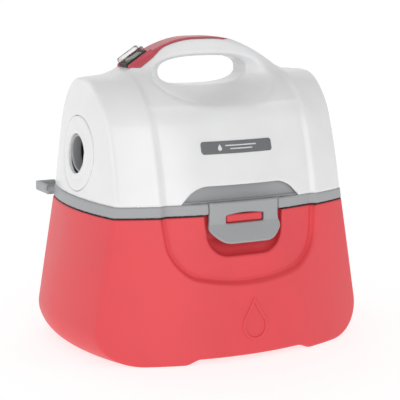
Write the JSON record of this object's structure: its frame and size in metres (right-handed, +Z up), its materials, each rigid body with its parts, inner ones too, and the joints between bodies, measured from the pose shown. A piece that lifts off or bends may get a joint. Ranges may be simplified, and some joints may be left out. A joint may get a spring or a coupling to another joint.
{
  "type": "portable wet and dry vacuum cleaner",
  "caption": "Portable wet and dry vacuum cleaner: moulded tank, lift-off motor head with hose port, loop handle, side latches, filter cage and float.",
  "frame": {"origin": "middle of the footprint, on the surface that the moulded feet stand on", "axes": "+Z up, +X along the length from the hose port end to the blower port end, -Y the front with the main latch"},
  "size_m": [0.3234, 0.2568, 0.3192],
  "materials": {
    "tank_coral": "fine satin moulded",
    "cover_coral": "satin moulded",
    "shell_white": "semi-gloss moulded",
    "band_grey": "satin moulded",
    "gasket_rubber": "matte",
    "inner_black": "satin moulded",
    "float_white": "satin moulded",
    "foam_grey": "open-cell foam",
    "clear_cover": "clear soft vinyl",
    "steel": "bright",
    "zinc_plate": "zinc plated",
    "fan_alloy": "pressed",
    "copper": "enamelled copper",
    "brass": "brass",
    "carbon": "carbon"
  },
  "bodies": {
    "tank": {"tank": "tank_coral"},
    "head": {"blower_outlet_disc": "shell_white", "blower_outlet_ring": "band_grey", "brush_caps": "inner_black", "brush_holders": "brass", "cage_screws": "steel", "carbon_brushes": "carbon", "cord_gland": "gasket_rubber", "deck": "band_grey", "deck_screws": "steel", "exhaust_duct": "inner_black", "fan_housing": "inner_black", "fan_housing_cover": "zinc_plate", "field_coils": "copper", "filter_cage": "inner_black", "foam_sleeve": "foam_grey", "front_latch_pin": "steel", "front_recess_tray": "band_grey", "handle_cover": "cover_coral", "handle_frame": "shell_white", "head_shell": "shell_white", "head_shell_left": "shell_white", "head_shell_right": "shell_white", "head_skirt_left": "shell_white", "head_skirt_right": "shell_white", "hose_inlet_disc": "shell_white", "hose_inlet_ring": "band_grey", "inlet_elbow": "inner_black", "lower_bearing": "steel", "motor_lower_bell": "zinc_plate", "motor_seat_ring": "gasket_rubber", "motor_upper_bell": "zinc_plate", "rear_latch_pin": "steel", "rear_recess_tray": "band_grey", "splash_cover": "clear_cover", "stator_core": "steel", "switch_body": "inner_black", "tank_gasket": "gasket_rubber", "upper_bearing": "steel"},
    "front_latch": {"front_latch": "band_grey"},
    "rear_latch": {"rear_latch": "band_grey"},
    "rotor": {"motor_shaft": "steel", "armature_core": "steel", "armature_windings": "copper", "commutator": "copper", "fan_wheel": "fan_alloy", "fan_nut": "steel", "cooling_fan": "fan_alloy"},
    "switch_rocker": {"rocker": "inner_black"},
    "float": {"float": "float_white"}
  },
  "joints": [
    {"name": "head_lift", "type": "slide", "parent": "tank", "child": "head", "axis": [0, 0, 1], "range_m": [0, 0.2]},
    {"name": "front_latch_hinge", "type": "hinge", "parent": "head", "child": "front_latch", "pos_m": [0, -0.10272, 0.1545], "axis": [-1, 0, 0], "range_deg": [0, 40]},
    {"name": "rear_latch_hinge", "type": "hinge", "parent": "head", "child": "rear_latch", "pos_m": [0, 0.10272, 0.1545], "axis": [1, 0, 0], "range_deg": [0, 40]},
    {"name": "rotor_spin", "type": "hinge", "parent": "head", "child": "rotor", "pos_m": [0, 0, 0.2], "axis": [0, 0, 1], "continuous": true},
    {"name": "switch_rock", "type": "hinge", "parent": "head", "child": "switch_rocker", "pos_m": [-0.07191, 0, 0.29542], "axis": [0, -1, 0], "range_deg": [0, 14]},
    {"name": "float_rise", "type": "slide", "parent": "head", "child": "float", "axis": [0, 0, 1], "range_m": [0, 0.056]}
  ]
}
